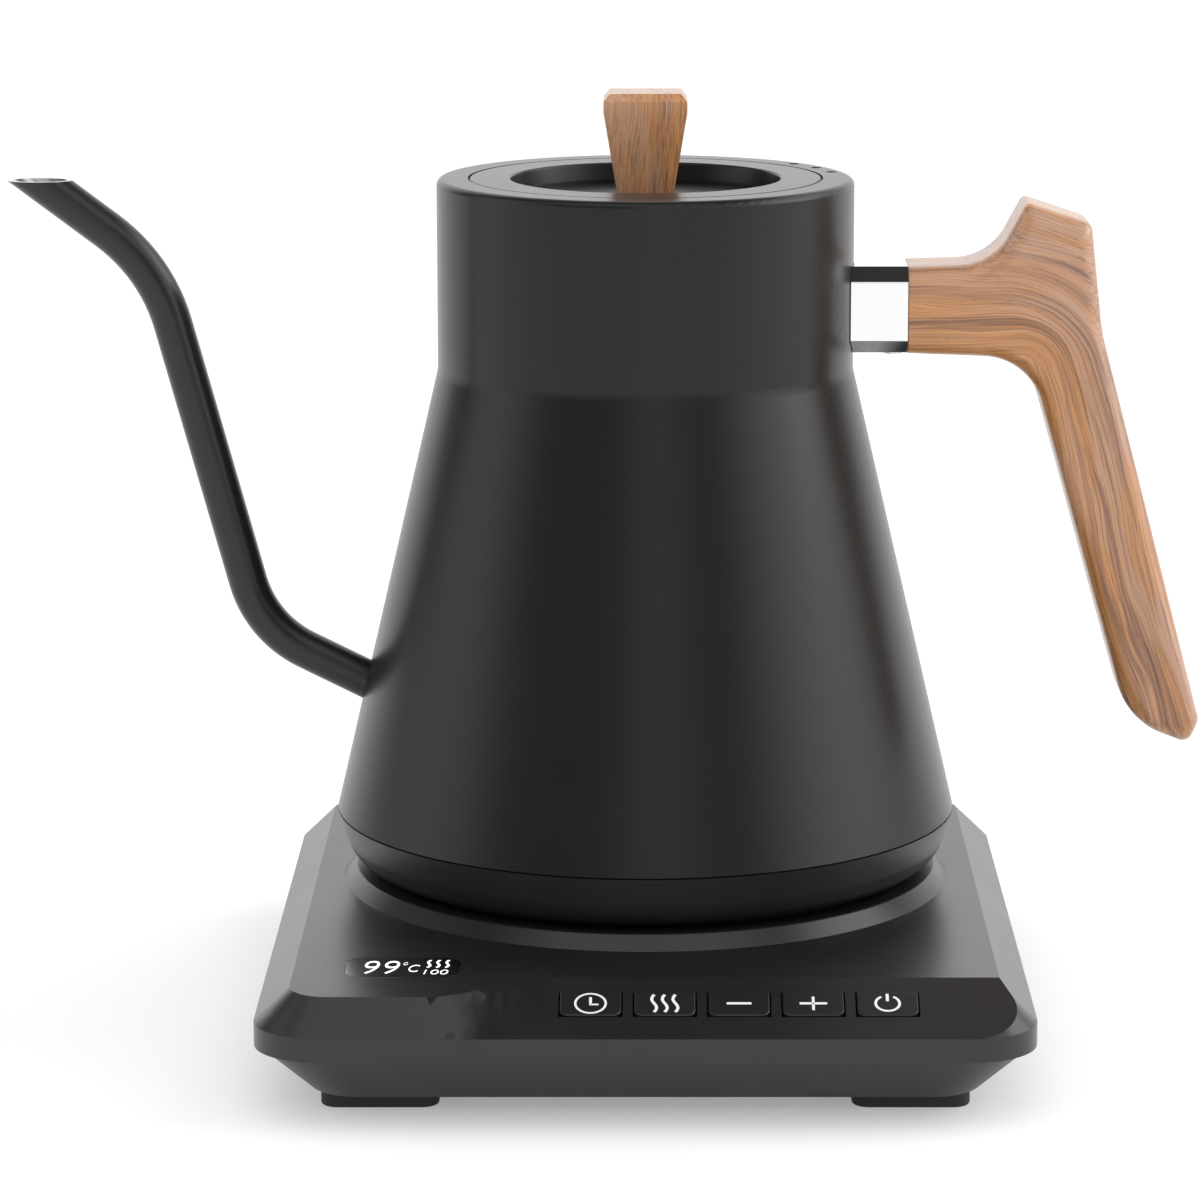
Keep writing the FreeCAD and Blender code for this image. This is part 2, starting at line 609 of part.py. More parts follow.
def make_vessel():
    seat = new_body("lid_seat_ring")
    turned(seat, [("seat_bore", "seat_z-11.3"), ("seat_bore+steel", "seat_z-11.3"),
                  ("seat_bore+steel", "seat_z-steel"), ("mouth_radius+steel", "seat_z-steel"),
                  ("mouth_radius+steel", "rim_z-2*steel"), ("44.3", "rim_z-2*steel"),
                  ("44.3", "rim_z-steel"), ("mouth_radius", "rim_z-steel"), ("mouth_radius", "seat_z"),
                  ("seat_bore", "seat_z")])
    named("lid_seat_ring", seat)
    plate = new_body("vessel_floor")
    turned(plate, [("0", "floor_z"), ("cone_radius-2.05", "floor_z"), ("cone_radius-2.2", "floor_z+0.9"),
                   ("0", "floor_z+0.9")])
    ring = cover_screw_places()
    pad(plate, [(x, y, "3.2") for x, y in ring], "floor_z-38", "38.0")
    pocket(plate, [(x, y, "1.5") for x, y in ring], "12", "38.0", reverse=True)
    pocket(plate, [PROBE + ("3.5",)], "4", "floor_z+2")
    named("vessel_floor", plate)
    disc = new_body("heat_plate")
    pad(disc, [("0", "0", "41.5")], "2.8", "floor_z-2.8")
    pocket(disc, [PROBE + ("3.5",)], "5", "floor_z+1")
    named("heat_plate", disc)
    element = doc.addObject("Part::Torus", "element_ring")
    element.Radius1 = 36
    element.Radius2 = 3.2
    element.Angle3 = 320
    put(element, "0", "0", "floor_z-6")
    legs = []
    for angle in (2, 318):
        legs.append(upright("element_leg", "1.3", "6", "36*cos(%d)" % angle, "36*sin(%d)" % angle,
                            "floor_z-13"))
    named("heating_element", joined("heating_element", [element] + legs))
    probe = new_body("ntc_probe")
    turned(probe, [("0", "47.7"), ("2.4", "47.7"), ("2.4", "58", "1.6"), ("0", "58")])
    named("ntc_probe", put(probe, *PROBE))
    seal = new_body("probe_seal")
    turned(seal, [("2.45", "floor_z-2.6"), ("3.4", "floor_z-2.6"), ("3.4", "floor_z+0.9"),
                  ("5", "floor_z+0.9"), ("5", "floor_z+2", "0.6"), ("2.45", "floor_z+2")])
    named("probe_seal", put(seal, *PROBE))
    named("thermal_cutout", upright("thermal_cutout", "5.4", "5", "-19.8", "-17.7", "floor_z-7.8"))
    gasket = new_body("bottom_gasket")
    turned(gasket, [("70.6", "49.4"), ("73.1", "49.4"), ("73.1", "floor_z"), ("70.6", "floor_z")])
    named("bottom_gasket", gasket)


def cover_screw_places():
    places = []
    for angle in (90, 210, 330):
        places.append(("cover_screw_circle*cos(%d)" % angle, "cover_screw_circle*sin(%d)" % angle))
    return places


def make_bottom_cover():
    body = new_body("kettle_bottom_cover")
    turned(body, [
        ("cup_radius+0.3", "cover_low"), ("53.5", "cover_low"), ("54", "dish_z"), ("57", "dish_z"),
        ("57.5", "cover_low"), ("71.1", "cover_low", "9"), ("cone_radius", "seam_z-seam_gap"),
        ("73.4", "seam_z-seam_gap"), ("73.4", "49.4"), ("71.8", "49.4"), ("71.8", "45.0"),
        ("69.4", "cover_low+cover_wall", "7.2"), ("cup_radius+0.3", "cover_low+cover_wall")])
    ring = cover_screw_places()
    pad(body, [(x, y, "4.5") for x, y in ring], "38-cover_low-1", "cover_low+1")
    pocket(body, [(x, y, "1.6") for x, y in ring], "8", "39.0")
    pocket(body, [(x, y, "3.2") for x, y in ring], "2.3", "cover_low", reverse=True)
    named("kettle_bottom_cover", body)
    screws("bottom_cover_screws", ring, "2.8", "cover_low+0.4", "cover_low+2.3", "1.4", "46.0")


def octagon(half, low, high, clip):
    """Section of the ferrule, across Y and up Z."""
    right, left = "(%s)" % half, "-(%s)" % half
    inner = "(%s-%s-0.8)" % (half, clip)
    return [("-" + inner, low), (inner, low), (right, "%s+%s" % (low, clip)),
            (right, "%s-%s" % (high, clip)), (inner, high), ("-" + inner, high),
            (left, "%s-%s" % (high, clip)), (left, "%s+%s" % (low, clip))]


def make_handle():
    sleeve = new_body("ferrule")
    pad(sleeve, [octagon("ferrule_half", "ferrule_low", "ferrule_high", "ferrule_clip")], "ferrule_end-42", "42.0",
        "YZ_Plane")
    pocket(sleeve, [octagon("ferrule_half-ferrule_wall", "ferrule_low+ferrule_wall",
                            "ferrule_high-ferrule_wall", "ferrule_clip-0.6")], "30",
           "ferrule_end+1", "YZ_Plane")
    neck = upright("neck_solid", "neck_radius", "60", "0", "0", "140.0")
    hole = upright("ferrule_screw_hole", "1.8", "6", "handle_screw_x", "0", "ferrule_low-2")
    named("ferrule", cut_from("ferrule", sleeve, [neck, hole]))
    bar = box("bracket_bar", "36", "bracket_wide", "bracket_high-bracket_low", "48", "-bracket_wide/2",
              "bracket_low")
    bite = upright("bracket_bite", "neck_radius", "60", "0", "0", "140.0")
    thread = upright("bracket_thread", "1.5", "12", "handle_screw_x", "0", "bracket_low-3")
    named("handle_bracket", cut_from("handle_bracket", bar, [bite, thread]))
    screws("handle_screw", [("handle_screw_x", "0")], "2.5", "ferrule_low-0.9", "ferrule_low", "1.4",
           "bracket_low+8")
    grip = new_body("handle_grip")
    pad(grip, [[("ferrule_end", "ferrule_high"), ("82.8", "180.9", "14"), ("90.8", "195.8", "1.6"),
                ("106.4", "190.6", "2.6"), ("109.3", "164.5", "40"), ("134.5", "69.4", "3"),
                ("132", "63.6", "2.5"), ("117.2", "69.2", "18"), ("91.9", "158.3", "15"),
                ("ferrule_end", "ferrule_low")]], "2*grip_half", plane="XZ_Plane", both=True)
    half = size("grip_half")

    def outer_edge(edge):
        flat = abs(abs(edge.BoundBox.YMin) - half) < 1e-3 and edge.BoundBox.YLength < 1e-3
        return flat and edge.BoundBox.XMax > size("ferrule_end") + 1e-3

    round_edges(grip, "grip_round", outer_edge)
    cavity = box("grip_cavity", "22", "bracket_wide+0.2", "bracket_high-bracket_low+0.2", "ferrule_end-0.5",
                 "-bracket_wide/2-0.1", "bracket_low-0.1")
    named("handle_grip", cut_from("handle_grip", grip, [cavity]))


# ---------------------------------------------------------------- lid

def make_lid():
    cover = new_body("lid_cover")
    turned(cover, [("2.1", "dish_floor"), ("30.2", "dish_floor"), ("30.2", "dish_floor+0.9"),
                   ("dish_opening-0.6", "dish_floor+0.9"), ("dish_opening", "rim_z", "0.5"),
                   ("lid_radius", "rim_z", "0.4"), ("lid_radius", "seat_z"),
                   ("dish_opening+1", "seat_z"), ("dish_opening+0.4", "dish_floor"),
                   ("31.2", "dish_floor-0.1"), ("31.2", "dish_floor-0.9"), ("2.1", "dish_floor-0.9")])
    named("lid_cover", cover)
    pan = new_body("lid_inner")
    turned(pan, [("0", "188.0"), ("pan_radius", "188.0", "1.2"), ("pan_radius", "seat_z"),
                 ("pan_radius-steel", "seat_z"), ("pan_radius-steel", "188.8", "0.6"), ("0", "188.8")])
    named("lid_inner", pan)
    gasket = new_body("lid_gasket")
    turned(gasket, [("pan_radius", "191.0"), ("pan_radius+1.1", "191.4"), ("seat_bore-0.35", "193.0"),
                    ("pan_radius+1.1", "194.2"), ("pan_radius+1.1", "195.5"), ("pan_radius", "195.5")])
    named("lid_gasket", gasket)
    washer = new_body("knob_washer")
    turned(washer, [("2.2", "dish_floor-1.9"), ("5", "dish_floor-1.9"), ("5", "dish_floor-0.9"),
                    ("2.2", "dish_floor-0.9")])
    named("knob_washer", washer)
    screws("knob_screw", [("0", "0")], "3.9", "dish_floor-4.1", "dish_floor-1.9", "1.9", "211.0")
    knob = new_body("knob")
    heights = (("knob_low", "6.5", "5.6"), ("knob_band", "10.0", "8.4"), ("knob_shoulder", "10.0", "8.4"),
               ("knob_top", "8.6", "7.0"))
    sections = []
    for height, wide, deep in heights:
        sections.append((rectangle("-" + wide, wide, "-" + deep, deep, "1.1"), height))
    loft(knob, sections)
    pocket(knob, [("0", "0", "2")], "15.5", "knob_low", reverse=True)
    named("knob", knob)


make_base_cover()
make_tray()
make_feet()
make_plug_halves()
make_display()
make_keys()
make_electrics()
make_spout_and_shell()
make_vessel()
make_bottom_cover()
make_handle()
make_lid()
doc.recompute()

for thing in doc.Objects:
    if "Invalid" in thing.State or "Error" in thing.State:
        raise RuntimeError("%s did not rebuild" % thing.Label)
os.makedirs("parts", exist_ok=True)
for label, thing in pieces.items():
    if thing.Shape.isNull() or not thing.Shape.isValid() or thing.Shape.Volume <= 0:
        raise RuntimeError("%s has no sound shape" % label)
    thing.Shape.exportStep("parts/%s.step" % label)
    print("%-24s %9.1f mm3  solids %d" % (label, thing.Shape.Volume, len(thing.Shape.Solids)))
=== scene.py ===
"""Electric gooseneck kettle on a heated base: finishes, prints, softened edges and a plain studio.

Metres. The origin is where the kettle's axis meets the table, +Z is up, the spout points to -X,
the handle to +X and the key panel to -Y.
"""
import json
import math

import bmesh
import bpy
from bpy.props import FloatProperty, FloatVectorProperty, PointerProperty
from mathutils import Matrix, Vector

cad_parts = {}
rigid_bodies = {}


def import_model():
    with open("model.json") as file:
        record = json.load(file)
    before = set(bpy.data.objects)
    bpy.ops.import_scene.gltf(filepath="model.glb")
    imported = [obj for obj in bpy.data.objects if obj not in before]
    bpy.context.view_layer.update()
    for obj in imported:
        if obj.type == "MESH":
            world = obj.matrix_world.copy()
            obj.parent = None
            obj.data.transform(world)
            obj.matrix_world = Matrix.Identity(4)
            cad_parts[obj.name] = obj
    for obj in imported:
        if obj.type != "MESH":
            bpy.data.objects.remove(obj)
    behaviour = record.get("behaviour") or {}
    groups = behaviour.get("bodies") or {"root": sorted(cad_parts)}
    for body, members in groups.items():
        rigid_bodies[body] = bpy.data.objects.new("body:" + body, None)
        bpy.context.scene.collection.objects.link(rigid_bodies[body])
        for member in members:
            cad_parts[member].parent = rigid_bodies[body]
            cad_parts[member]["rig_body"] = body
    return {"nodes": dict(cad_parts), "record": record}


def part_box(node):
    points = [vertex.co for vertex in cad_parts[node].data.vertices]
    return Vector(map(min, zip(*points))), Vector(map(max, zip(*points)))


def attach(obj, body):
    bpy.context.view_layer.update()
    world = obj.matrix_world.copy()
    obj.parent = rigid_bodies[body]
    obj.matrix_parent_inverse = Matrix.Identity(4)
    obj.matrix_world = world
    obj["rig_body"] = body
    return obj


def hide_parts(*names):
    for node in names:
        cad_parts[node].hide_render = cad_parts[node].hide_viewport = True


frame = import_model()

bl_info = {
    "name": "Gooseneck kettle",
    "version": (1, 0, 0),
    "blender": (4, 5, 0),
    "location": "3D View > Sidebar > Kettle",
    "description": "Finishes, prints and studio for an electric gooseneck kettle on its base",
    "category": "Object",
}

NODES = frame["nodes"]
SLOT_OF = {part["node"]: part["material_slot"] for part in frame["record"]["subparts"]}
BODY_OF = {name: node["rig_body"] for name, node in NODES.items()}
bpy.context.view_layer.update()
MM = 0.001
DEGREE = math.pi / 180
WHITE = (1.0, 1.0, 1.0, 1.0)

# where things stand on the kettle, in metres
NECK_RADIUS = 0.05
CREASE_Z = 0.1549
SEAM_Z = 0.0473
CONE_RADIUS = 0.0752
RIM_Z = 0.2008
FACE_Z = 0.0295
PANEL_TOP = 0.0955
TIP_LINE = (-0.1175, 0.1793)
TIP_LEAN = math.radians(53)
TIP_Z = 0.2001
SPOUT_MIDWALL = 0.00435
KEY_PROUD = 0.0003
PANEL_SLOPE = math.atan2(8.5, 20.5)
KEY_FIRST = -0.0124
KEY_PITCH = 0.01675
KEY_MIDDLE_Y = -0.00975
KEY_NAMES = ("key_timer", "key_heat", "key_minus", "key_plus", "key_power")
BELT_Z = 0.0205
BELT_SIDE = 0.078
BELT_FRONT = 0.094
BELT_BACK = 0.086
BELT_CORNER = 0.145
FADE_LEFT = -0.053
FADE_RIGHT = -0.017
FADE_BACK = 0.08

# how widely edges are rounded, in metres
FERRULE_ROUND = 0.0007
BELT_ROUND = 0.0014
FOOT_ROUND = 0.0006
CASE_ROUND = 0.0006
WINDOW_ROUND = 0.00015

# how the CAD meshes are put together again
MERGE_WITHIN = 0.000001
FLAT_WITHIN = 0.4 * DEGREE

# the gap that keeps a print off the face under it
PRINT_GAP = 0.00001


# ---------------------------------------------------------------- settings

class KettleColours(bpy.types.PropertyGroup):
    """Colours a user would change, as linear RGB."""

    coat: FloatVectorProperty(name="Coat", description="Matt coat of the kettle and lid",
                              subtype="COLOR", size=3, default=(0.0125, 0.0125, 0.013))
    moulding: FloatVectorProperty(name="Moulding", description="Black plastic of the base",
                                  subtype="COLOR", size=3, default=(0.013, 0.013, 0.0138))
    wood_gold: FloatVectorProperty(name="Golden wood", description="Warm ground of the teak",
                                   subtype="COLOR", size=3, default=(0.50, 0.225, 0.075))
    # rose wood is the teak's own pinkish zones, and also the painted sheen on the wood's outer rings
    wood_rose_and_sheen: FloatVectorProperty(name="Rose wood", description="Pinkish zones of the teak",
                                   subtype="COLOR", size=3, default=(0.49, 0.285, 0.19))
    wood_dark: FloatVectorProperty(name="Dark wood", description="Dark streaks of the teak",
                                   subtype="COLOR", size=3, default=(0.07, 0.028, 0.015))
    print_white: FloatVectorProperty(name="Print", description="White of the printed signs",
                                     subtype="COLOR", size=3, default=(0.86, 0.86, 0.86))


class KettleSizes(bpy.types.PropertyGroup):
    """Sizes a user would change."""

    print_height: FloatProperty(name="Print height", description="How proud the printed signs stand",
                                default=0.00004, unit="LENGTH")
    edge_round: FloatProperty(name="Edge round", description="Softening of a moulded piece's edges",
                              default=0.0003, unit="LENGTH")
    clock_radius: FloatProperty(name="Clock radius", description="Outer radius of the clock sign",
                                default=0.0037, unit="LENGTH")
    stroke: FloatProperty(name="Stroke", description="Width of the printed lines",
                          default=0.00052, unit="LENGTH")


class KettleStudio(bpy.types.PropertyGroup):
    """The camera and lights."""

    lens: FloatProperty(name="Lens", description="Focal length in millimetres on a 36 mm sensor",
                        default=146.6)
    distance: FloatProperty(name="Distance", description="How far in front of the axis it stands",
                            default=1.166, unit="LENGTH")
    height: FloatProperty(name="Height", description="How high the camera stands",
                          default=0.3354, unit="LENGTH")
    pitch: FloatProperty(name="Pitch", description="How far the camera looks down",
                         default=math.radians(11.53), subtype="ANGLE")
    shift: FloatProperty(name="Shift", description="Sideways shift of the view, in frame widths",
                         default=-0.0379)
    key_power: FloatProperty(name="Key light", description="Power of the large soft light",
                             default=12.0, unit="POWER")
    key_size: FloatProperty(name="Key light size", description="Side of the large soft light",
                            default=1.3, unit="LENGTH")
    soft_light: FloatProperty(name="Soft light", description="Brightness of the white surround",
                              default=1.15)


# ---------------------------------------------------------------- shader arithmetic

class Wire:
    """A shader socket that takes part in plain arithmetic."""

    def __init__(self, recipe, socket):
        self.recipe = recipe
        self.socket = socket

    def math(self, operation, *others):
        return self.recipe.arithmetic(operation, self, *others)

    def __add__(self, other):
        return self.math("ADD", other)

    __radd__ = __add__

    def __sub__(self, other):
        return self.math("SUBTRACT", other)

    def __rsub__(self, other):
        return self.recipe.arithmetic("SUBTRACT", other, self)

    def __mul__(self, other):
        return self.math("MULTIPLY", other)

    __rmul__ = __mul__

    def __truediv__(self, other):
        return self.math("DIVIDE", other)

    def most(self, other):
        return self.math("MAXIMUM", other)

    def least(self, other):
        return self.math("MINIMUM", other)

    def above(self, edge):
        return self.math("GREATER_THAN", edge)

    def length_with(self, other):
        return (self * self + other * other).math("SQRT")

    def fade(self, start, end):
        """0 where this is at start, 1 at end, with soft ends."""
        settings = {"interpolation_type": "SMOOTHSTEP", "clamp": True}
        return self.recipe.add("ShaderNodeMapRange", settings,
                               {"Value": self, "From Min": start, "From Max": end})


class Recipe:
    """A node tree that is built up one node at a time."""

    def __init__(self, tree):
        self.tree = tree
        tree.nodes.clear()

    def add(self, kind, settings=None, values=None, result=0):
        """A node of this kind. Its settings come first, then the values or wires of its sockets."""
        node = self.tree.nodes.new(kind)
        for key, setting in (settings or {}).items():
            setattr(node, key, setting)
        for key, value in (values or {}).items():
            if isinstance(value, Wire):
                self.tree.links.new(value.socket, node.inputs[key])
            else:
                node.inputs[key].default_value = value
        return Wire(self, node.outputs[result]) if len(node.outputs) else node

    def arithmetic(self, operation, *values):
        return self.add("ShaderNodeMath", {"operation": operation}, dict(enumerate(values)))

    def mix(self, factor, first, second):
        """A colour between two colours."""
        return self.add("ShaderNodeMix", {"data_type": "RGBA"}, {0: factor, 6: first, 7: second}, 2)

    def place(self):
        """The object's own coordinates as three wires."""
        point = self.add("ShaderNodeTexCoord", result=3)
        return self.parts(point)

    def parts(self, vector):
        first = self.add("ShaderNodeSeparateXYZ", values={0: vector})
        return [Wire(self, output) for output in first.socket.node.outputs]

    def vector(self, x, y, z):
        return self.add("ShaderNodeCombineXYZ", values={0: x, 1: y, 2: z})

    def noise(self, x, y, z, detail=2.0, roughness=0.5, distortion=0.0):
        """Noise of one unit's grain at a point."""
        values = {"Vector": self.vector(x, y, z), "Scale": 1.0, "Detail": detail,
                  "Roughness": roughness, "Distortion": distortion}
        return self.add("ShaderNodeTexNoise", values=values)

    def bump(self, height, distance, strength=1.0):
        return self.add("ShaderNodeBump", values={"Height": height, "Distance": distance,
                                                  "Strength": strength})


class Finish(Recipe):
    """One material with a single Principled shader."""

    def __init__(self, name, constants=None):
        self.material = bpy.data.materials.new(name)
        self.material.use_nodes = True
        super().__init__(self.material.node_tree)
        self.shader = self.tree.nodes.new("ShaderNodeBsdfPrincipled")
        output = self.tree.nodes.new("ShaderNodeOutputMaterial")
        self.tree.links.new(self.shader.outputs[0], output.inputs[0])
        for key, value in (constants or {}).items():
            self.shader.inputs[key].default_value = value

    def feed(self, **wires):
        """Link wires to the shader's sockets, named with underscores for spaces."""
        for key, wire in wires.items():
            self.tree.links.new(wire.socket, self.shader.inputs[key.replace("_", " ")])
        return self.material


def rgba(colour, scale=1.0):
    return (colour[0] * scale, colour[1] * scale, colour[2] * scale, 1.0)


# ---------------------------------------------------------------- finishes

def grained(name, colour, rough, grain=0.5, depth=0.01, metal=0.0, mottle=0.12, stretch=(1, 1, 1),
            constants=None):
    """A moulded, rubber, cast or plated finish: cloudy tone, fine grain in gloss and relief.

    Grain and depth are in millimetres. Stretch draws the grain out along an axis.
    """
    given = {"Metallic": metal}
    given.update(constants or {})
    finish = Finish(name, given)
    x, y, z = finish.place()
    cloud = finish.noise(x * 45.0, y * 45.0, z * 45.0, 3.0)
    per_metre = [1000.0 / (grain * way) for way in stretch]
    fine = finish.noise(x * per_metre[0], y * per_metre[1], z * per_metre[2], 2.0, 0.6)
    tone = cloud * 0.65 + fine * 0.35
    base = finish.mix(tone.fade(0.3, 0.7), rgba(colour, 1 - mottle), rgba(colour, 1 + mottle))
    gloss = cloud * (rough * 0.2) + fine * (rough * 0.25) + rough * 0.775
    return finish.feed(Base_Color=base, Roughness=gloss, Normal=finish.bump(fine, depth * MM))


def coated_steel(name, colours, outside, ior=1.34):
    """Matt coat outside and bare steel inside. outside(finish, x, y, z) is 1 on coated faces."""
    finish = Finish(name, {"IOR": ior})
    x, y, z = finish.place()
    coat = outside(finish, x, y, z)
    cloud = finish.noise(x * 30.0, y * 30.0, z * 30.0, 3.0)
    speck = finish.noise(x * 2600.0, y * 2600.0, z * 2600.0, 2.0, 0.65)
    drawn = finish.noise(x * 160.0, y * 160.0, z * 5000.0, 2.0)
    paint = finish.mix(cloud, rgba(colours.coat, 0.9), rgba(colours.coat, 1.12))
    steel = finish.mix(drawn, (0.52, 0.51, 0.49, 1.0), (0.70, 0.69, 0.67, 1.0))
    gloss = coat * (cloud * 0.04 + speck * 0.04 + 0.24) + (1 - coat) * (drawn * 0.14 + 0.18)
    relief = coat * speck * 0.5 + (1 - coat) * drawn
    return finish.feed(Base_Color=finish.mix(coat, steel, paint), Roughness=gloss,
                       Metallic=1 - coat, Normal=finish.bump(relief, 0.004 * MM, 0.6))


def shell_outside(finish, x, y, z):
    """1 outside the vessel's wall and over its rolled rim."""
    cone = CONE_RADIUS - (z - SEAM_Z) * ((CONE_RADIUS - NECK_RADIUS) / (CREASE_Z - SEAM_Z))
    wall = cone.most(NECK_RADIUS) - 0.0004
    return (x.length_with(y) - wall).above(0.0).most(z.above(RIM_Z - 0.0032))


def everywhere(finish, x, y, z):
    return z.above(-1.0)


def spout_outside(finish, x, y, z):
    """1 but for the bore behind the tip and the tip's cut edge."""
    off = (x - TIP_LINE[0]) * math.cos(TIP_LEAN) + (z - TIP_LINE[1]) * math.sin(TIP_LEAN)
    wall = (off.length_with(y) - SPOUT_MIDWALL).above(0.0) * (1 - z.above(TIP_Z - 0.00005))
    return wall.most(x.above(-0.128))


def teak(name, colours, across, along, heart, sheen_ring):
    """Oiled teak. across and along turn the place into grain coordinates, in millimetres.

    heart is the ring where the dark streaks gather. Beyond the last ring given, the wood is painted
    paler and rosier: partly the teak's own pink zones, partly a painted sheen on the grip's outer side
    and the neck's top, where the light falls.
    """
    finish = Finish(name, {"IOR": 1.48, "Coat Roughness": 0.2})
    x, y, z = [axis * 1000.0 for axis in finish.place()]
    ring, run = across(finish, x, y, z), along(x, y, z)
    wander = finish.noise(ring / 20.0, y / 20.0, run / 55.0, 2.0)
    ring = ring + (wander - 0.5) * 8.0
    band = finish.noise(ring / 3.6, y / 9.0, run / 80.0, 3.0, 0.6)
    zone = finish.noise(ring / 7.0 + 7.0, y / 15.0, run / 46.0, 2.0)
    streak = finish.noise(ring / 1.0, y / 2.6, run / 60.0, 3.0, 0.62)
    line = finish.noise(ring / 0.3, y / 0.9, run / 48.0, 2.0, 0.6)
    hair = finish.noise(ring / 0.15, y / 0.4, run / 16.0, 2.0, 0.6)
    pore = finish.noise(ring / 0.16, y / 0.22, run / 3.0, 1.0)
    gold, rose_and_sheen, dark = rgba(colours.wood_gold), rgba(colours.wood_rose_and_sheen), rgba(colours.wood_dark)
    near_heart = ring.fade(heart - 5.0, heart - 1.0) * ring.fade(heart + 7.0, heart + 1.0)
    # painted sheen: the outer rings turn paler and rosier on the side that faces the key light, the
    # grip's outer side and the neck's top; the random zones below are the teak's own colour
    painted_sheen_side = ring.fade(sheen_ring - 5.0, sheen_ring + 6.0)
    ground = finish.mix((zone.fade(0.44, 0.58) * 0.65 + painted_sheen_side * 0.55).least(1.0), gold, rose_and_sheen)
    brown = band.fade(0.46, 0.6) * (near_heart * 0.6 + 0.4)
    ground = finish.mix(brown * 0.75, ground, rgba(colours.wood_dark, 2.6))
    ground = finish.mix(streak.fade(0.5, 0.34) * 0.5, ground, rgba(colours.wood_gold, 1.2))
    veins = streak.fade(0.54, 0.66) * (band.fade(0.42, 0.62) * 0.5 + near_heart * 0.7).least(1.0)
    ground = finish.mix(veins * 0.85, ground, dark)
    ground = finish.mix(line.fade(0.52, 0.66) * 0.5, ground, rgba(colours.wood_dark, 2.0))
    ground = finish.mix(line.fade(0.46, 0.32) * 0.35, ground, rgba(colours.wood_rose_and_sheen, 1.35))
    ground = finish.mix(hair.fade(0.52, 0.7) * 0.35, ground, rgba(colours.wood_dark, 1.8))
    pits = pore.fade(0.66, 0.76)
    colour = finish.mix(pits * 0.45, ground, dark)
    relief = hair * -0.4 - pits - line * 0.4
    return finish.feed(Base_Color=colour, Roughness=hair * 0.1 + pits * 0.15 + 0.33,
                       Coat_Weight=0.45 - pits * 0.4, Normal=finish.bump(relief, 0.02 * MM, 0.5))


def handle_ring(finish, x, y, z):
    """Grain rings of the handle: they follow the neck's underside and turn down the grip."""
    above = (z - 157.6).most(0.0)
    beside = ((x - 93.6) * 0.961 + (z - 147.8) * 0.277).most(0.0)
    return above.length_with(beside)


def solder_board(name):
    """Green laminate with paler copper runs and bright pads under its mask."""
    finish = Finish(name, {"IOR": 1.5})
    x, y, z = finish.place()
    fine = finish.noise(x * 900.0, y * 900.0, z * 900.0, 2.0)
    cells = finish.add("ShaderNodeTexVoronoi", {"distance": "CHEBYCHEV"},
                       {"Vector": finish.vector(x, y, z), "Scale": 420.0})
    runs = cells.fade(0.30, 0.36) * (1 - cells.fade(0.42, 0.48))
    pads = 1 - cells.fade(0.07, 0.1)
    colour = finish.mix(runs, (0.012, 0.10, 0.035, 1.0), (0.05, 0.22, 0.09, 1.0))
    colour = finish.mix(pads, colour, (0.72, 0.70, 0.66, 1.0))
    relief = runs * 0.6 + pads + fine * 0.15
    return finish.feed(Base_Color=colour, Metallic=pads, Roughness=0.34 - pads * 0.1 + fine * 0.08,
                       Normal=finish.bump(relief, 0.03 * MM))


def lit_print(name, colour, glow):
    """White ink, or a lit sign where glow is above zero."""
    finish = Finish(name, {"Emission Strength": glow, "Emission Color": rgba(colour)})
    x, y, z = finish.place()
    grit = finish.noise(x * 5200.0, y * 5200.0, z * 5200.0, 2.0)
    base = finish.mix(grit, rgba(colour, 0.92), rgba(colour, 1.0))
    return finish.feed(Base_Color=base, Roughness=grit * 0.12 + 0.42,
                       Normal=finish.bump(grit, 0.004 * MM))


def tinted_sheath(name):
    """Heating tube with straw and blue heat colours."""
    finish = Finish(name, {"Metallic": 1.0})
    x, y, z = finish.place()
    heat = finish.noise(x * 38.0, y * 38.0, z * 38.0, 2.0)
    fine = finish.noise(x * 2400.0, y * 2400.0, z * 2400.0, 2.0)
    straw = finish.mix(heat.fade(0.35, 0.55), (0.36, 0.33, 0.30, 1.0), (0.44, 0.31, 0.16, 1.0))
    colour = finish.mix(heat.fade(0.58, 0.72), straw, (0.20, 0.19, 0.30, 1.0))
    return finish.feed(Base_Color=colour, Roughness=fine * 0.2 + 0.3,
                       Normal=finish.bump(fine, 0.01 * MM))


def turned_plate(name):
    """Cast aluminium faced on a lathe: fine rings about the axis."""
    finish = Finish(name, {"Metallic": 1.0})
    x, y, z = finish.place()
    rings = (x.length_with(y) * 9000.0).math("SINE")
    cast = finish.noise(x * 300.0, y * 300.0, z * 300.0, 3.0)
    colour = finish.mix(cast, (0.60, 0.60, 0.61, 1.0), (0.78, 0.78, 0.79, 1.0))
    return finish.feed(Base_Color=colour, Roughness=cast * 0.2 + 0.28,
                       Normal=finish.bump(rings * 0.2 + cast, 0.02 * MM, 0.6))


